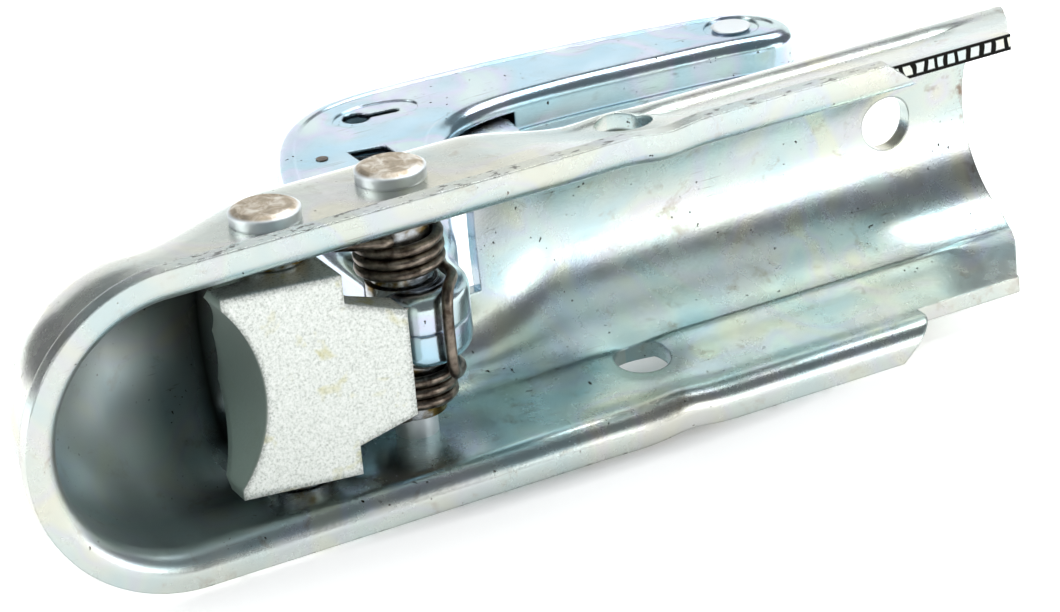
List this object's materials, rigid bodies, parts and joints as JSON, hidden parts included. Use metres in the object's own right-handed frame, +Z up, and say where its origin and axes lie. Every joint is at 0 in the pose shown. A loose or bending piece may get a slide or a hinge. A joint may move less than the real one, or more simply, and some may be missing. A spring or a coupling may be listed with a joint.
{
  "type": "trailer ball coupling head",
  "caption": "Pressed steel trailer coupling head with a domed ball socket, pivoting jaw and sprung release lever on a tube drawbar seat.",
  "frame": {"origin": "centre of the lower rim plane, halfway along the length", "axes": "+Z up out of the rim towards the lever, nose with the ball socket to -Y, left side to +X"},
  "size_m": [0.0682, 0.2424, 0.1233],
  "materials": {
    "zinc_housing": "satin zinc plate with a warm tint",
    "zinc_jaw": "matt grainy zinc plate, greasy",
    "zinc_lever": "bright zinc plate with a blue tint",
    "zinc_catch": "bright zinc plate",
    "rivet_steel": "worn zinc plate over steel",
    "ring_steel": "plain turned steel",
    "cam_steel": "dull greased steel",
    "spring_steel": "dark oiled spring wire"
  },
  "bodies": {
    "housing": {"housing": "zinc_housing", "jaw_rivet": "rivet_steel", "jaw_spacer_left": "ring_steel", "jaw_spacer_right": "ring_steel", "lever_rivet": "rivet_steel", "spring_sleeve_left": "ring_steel", "spring_sleeve_right": "ring_steel", "spring": "spring_steel"},
    "lever": {"lever_left": "zinc_lever", "lever_right": "zinc_lever", "lever_cam": "cam_steel", "lever_bush": "ring_steel", "grip_rivet": "zinc_lever", "catch_pin": "ring_steel", "catch_spring": "spring_steel"},
    "jaw": {"jaw": "zinc_jaw"},
    "catch": {"catch": "zinc_catch"}
  },
  "joints": [
    {"name": "lever_hinge", "type": "hinge", "parent": "housing", "child": "lever", "pos_m": [0, -0.0295, 0.0226], "axis": [1, 0, 0], "range_deg": [0, 45], "stiffness_Nm_per_rad": 3, "springref_deg": -40.11, "deforming": ["spring"]},
    {"name": "jaw_hinge", "type": "hinge", "parent": "housing", "child": "jaw", "pos_m": [0, -0.0587, 0.0193], "axis": [1, 0, 0], "range_deg": [0, 6.75]},
    {"name": "catch_hinge", "type": "hinge", "parent": "lever", "child": "catch", "pos_m": [0, -0.0146, 0.0907], "axis": [1, 0, 0], "range_deg": [0, 4], "stiffness_Nm_per_rad": 0.05, "springref_deg": -22.92, "deforming": ["catch_spring"]}
  ],
  "couplings": [
    {"joint": "jaw_hinge", "follows": "lever_hinge", "ratio": 0.15}
  ]
}
